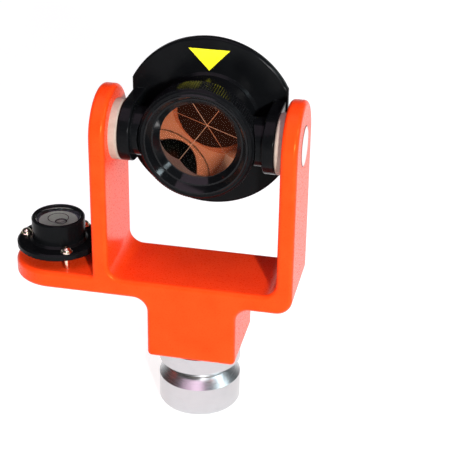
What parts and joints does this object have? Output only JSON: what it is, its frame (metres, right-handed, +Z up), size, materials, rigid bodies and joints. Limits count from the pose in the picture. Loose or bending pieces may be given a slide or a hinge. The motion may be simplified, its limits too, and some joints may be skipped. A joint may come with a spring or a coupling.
{
  "type": "survey prism",
  "caption": "Tilting corner-cube survey prism with a round target plate, carried in a U-shaped yoke with a circular level vial and a swivelling threaded base knob.",
  "frame": {"origin": "centre of the base knob's underside, at the mouth of the pole thread, on the swivel axis", "axes": "+Z up the swivel axis, -Y the way the prism looks, +X along the tilt axis away from the level vial"},
  "size_m": [0.099, 0.0356, 0.1295],
  "materials": {
    "orange_powder_coat": "semi-gloss orange-red powder coat over an aluminium casting",
    "turned_aluminium": "fine-turned bright aluminium",
    "black_gloss": "glossy black paint over machined aluminium",
    "black_plastic": "moulded black plastic",
    "black_rubber": "black rubber",
    "nylon": "natural cream nylon",
    "white_plastic": "white moulded plastic",
    "yellow_mark": "bright yellow film",
    "optical_glass": "polished glass, copper-coated on its three back faces",
    "clear_vial": "clear acrylic",
    "beige_backing": "beige backing disc",
    "black_ink": "printed ring",
    "air_bubble": "air bubble in clear spirit",
    "set_compound": "set compound",
    "nickel_brass": "nickel-plated brass",
    "bright_steel": "bright steel",
    "spring_steel": "spring steel"
  },
  "bodies": {
    "knob": {"base_knob": "turned_aluminium", "swivel_snap_ring": "spring_steel"},
    "yoke": {"yoke_frame": "orange_powder_coat", "swivel_collar": "turned_aluminium", "swivel_washer": "nylon", "pivot_bush_left": "nylon", "pivot_bush_right": "nylon", "pivot_cap_left": "white_plastic", "pivot_cap_right": "white_plastic", "vial_housing": "black_gloss", "vial_bed": "set_compound", "vial_glass": "clear_vial", "vial_backing": "beige_backing", "vial_circle_mark": "black_ink", "vial_bubble": "air_bubble", "vial_cushion": "black_rubber", "vial_screws": "nickel_brass"},
    "head": {"prism_holder": "black_gloss", "target_mark": "yellow_mark", "pivot_screw_left": "bright_steel", "pivot_screw_right": "bright_steel", "wave_washer_left": "spring_steel", "wave_washer_right": "spring_steel"},
    "seal": {"canister_seal": "black_rubber"},
    "prism": {"prism_canister": "black_gloss", "front_bezel": "black_gloss", "glass_gasket": "black_rubber", "prism_glass": "optical_glass", "prism_cradle": "black_plastic", "rear_cap": "black_plastic"}
  },
  "joints": [
    {"name": "base_swivel", "type": "hinge", "parent": "knob", "child": "yoke", "pos_m": [0, 0, 0.014], "axis": [0, 0, 1], "continuous": true},
    {"name": "head_tilt", "type": "hinge", "parent": "yoke", "child": "head", "pos_m": [0, 0, 0.1], "axis": [1, 0, 0], "continuous": true},
    {"name": "canister_feed", "type": "slide", "parent": "head", "child": "seal", "axis": [0, -1, 0], "range_m": [0, 0.006]},
    {"name": "canister_turn", "type": "hinge", "parent": "seal", "child": "prism", "pos_m": [0, 0, 0.1], "axis": [0, -1, 0], "range_deg": [0, 1440.5]}
  ],
  "couplings": [
    {"joint": "canister_turn", "follows": "canister_feed", "rad_per_m": 4188.8}
  ]
}
